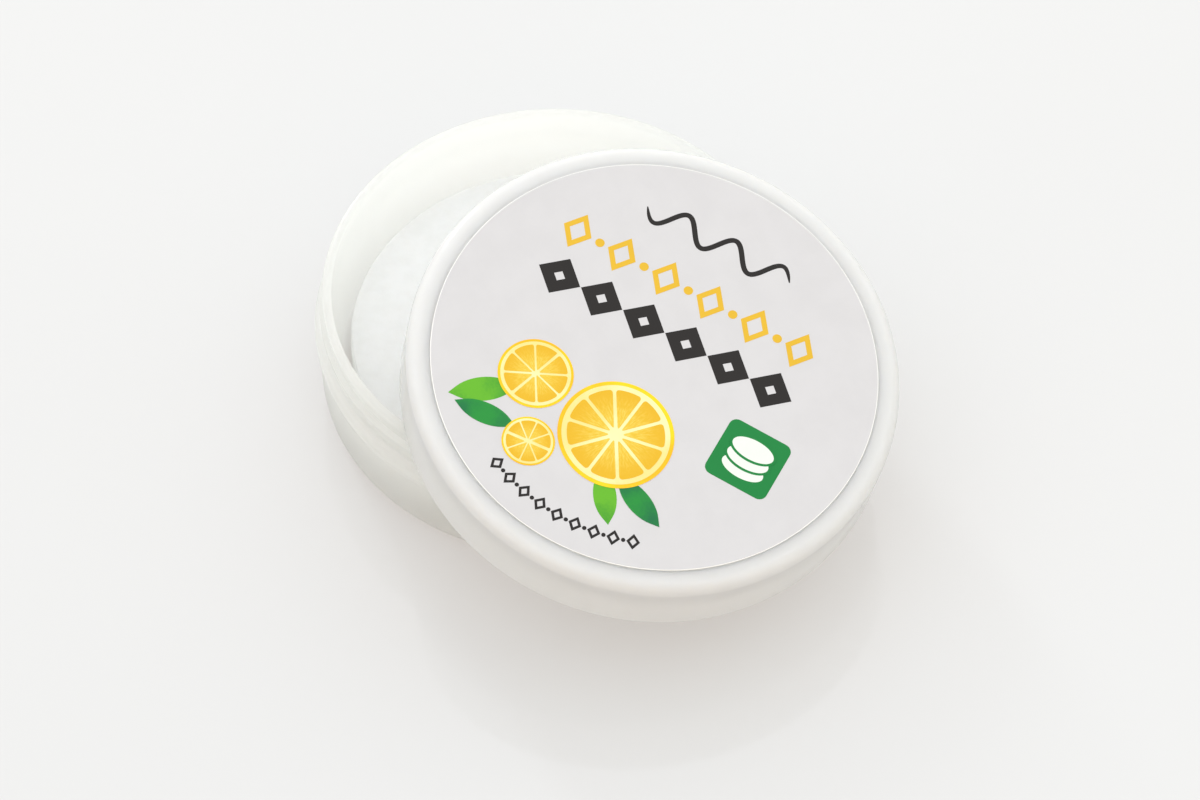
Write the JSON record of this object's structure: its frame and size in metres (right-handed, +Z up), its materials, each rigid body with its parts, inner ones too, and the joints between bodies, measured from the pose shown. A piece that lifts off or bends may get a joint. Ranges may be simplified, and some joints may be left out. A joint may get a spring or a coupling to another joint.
{
  "type": "open screw jar of remover pads",
  "caption": "Shallow round translucent screw jar, open, with its lid leaning on the rim and a stack of thin round nonwoven pads inside.",
  "frame": {"origin": "centre of the jar's foot, on the table and on the jar's axis", "axes": "+Z up along the jar's axis; +X the way the open lid leans and overhangs"},
  "size_m": [0.0749, 0.0562, 0.03],
  "materials": {
    "jar_plastic": "milky translucent polypropylene, smooth moulded",
    "lid_plastic": "milky translucent polypropylene, smooth moulded",
    "liner_foam": "fine closed-cell foam sheet",
    "label_paper": "satin coated paper, printed",
    "pad_fabric": "thin nonwoven, damp"
  },
  "bodies": {
    "jar": {"jar": "jar_plastic"},
    "pad_stack": {"pad_01": "pad_fabric", "pad_02": "pad_fabric", "pad_03": "pad_fabric", "pad_04": "pad_fabric", "pad_05": "pad_fabric", "pad_06": "pad_fabric", "pad_07": "pad_fabric", "pad_08": "pad_fabric", "pad_09": "pad_fabric", "pad_10": "pad_fabric", "pad_11": "pad_fabric", "pad_12": "pad_fabric", "pad_13": "pad_fabric", "pad_14": "pad_fabric", "pad_15": "pad_fabric", "pad_16": "pad_fabric", "pad_17": "pad_fabric", "pad_18": "pad_fabric", "pad_19": "pad_fabric", "pad_20": "pad_fabric", "pad_21": "pad_fabric", "pad_22": "pad_fabric", "pad_23": "pad_fabric", "pad_24": "pad_fabric", "pad_25": "pad_fabric", "pad_26": "pad_fabric", "pad_27": "pad_fabric", "pad_28": "pad_fabric", "pad_29": "pad_fabric", "pad_30": "pad_fabric", "pad_31": "pad_fabric"},
    "top_pad": {"pad_32": "pad_fabric"},
    "liner": {"lid_liner": "liner_foam"},
    "lid": {"lid": "lid_plastic", "lid_label": "label_paper"}
  },
  "joints": [
    {"name": "pads_lift", "type": "slide", "parent": "jar", "child": "pad_stack", "axis": [0, 0, 1], "range_m": [0, 0.0045]},
    {"name": "top_pad_lift", "type": "slide", "parent": "pad_stack", "child": "top_pad", "axis": [0, 0, 1], "range_m": [0, 0.0045]},
    {"name": "lid_lift", "type": "slide", "parent": "jar", "child": "liner", "axis": [0.225, 0, 0.9744], "range_m": [0, 0.04]},
    {"name": "lid_turn", "type": "hinge", "parent": "liner", "child": "lid", "pos_m": [0.0179, 0, 0.01595], "axis": [0.225, 0, 0.9744], "continuous": true}
  ]
}
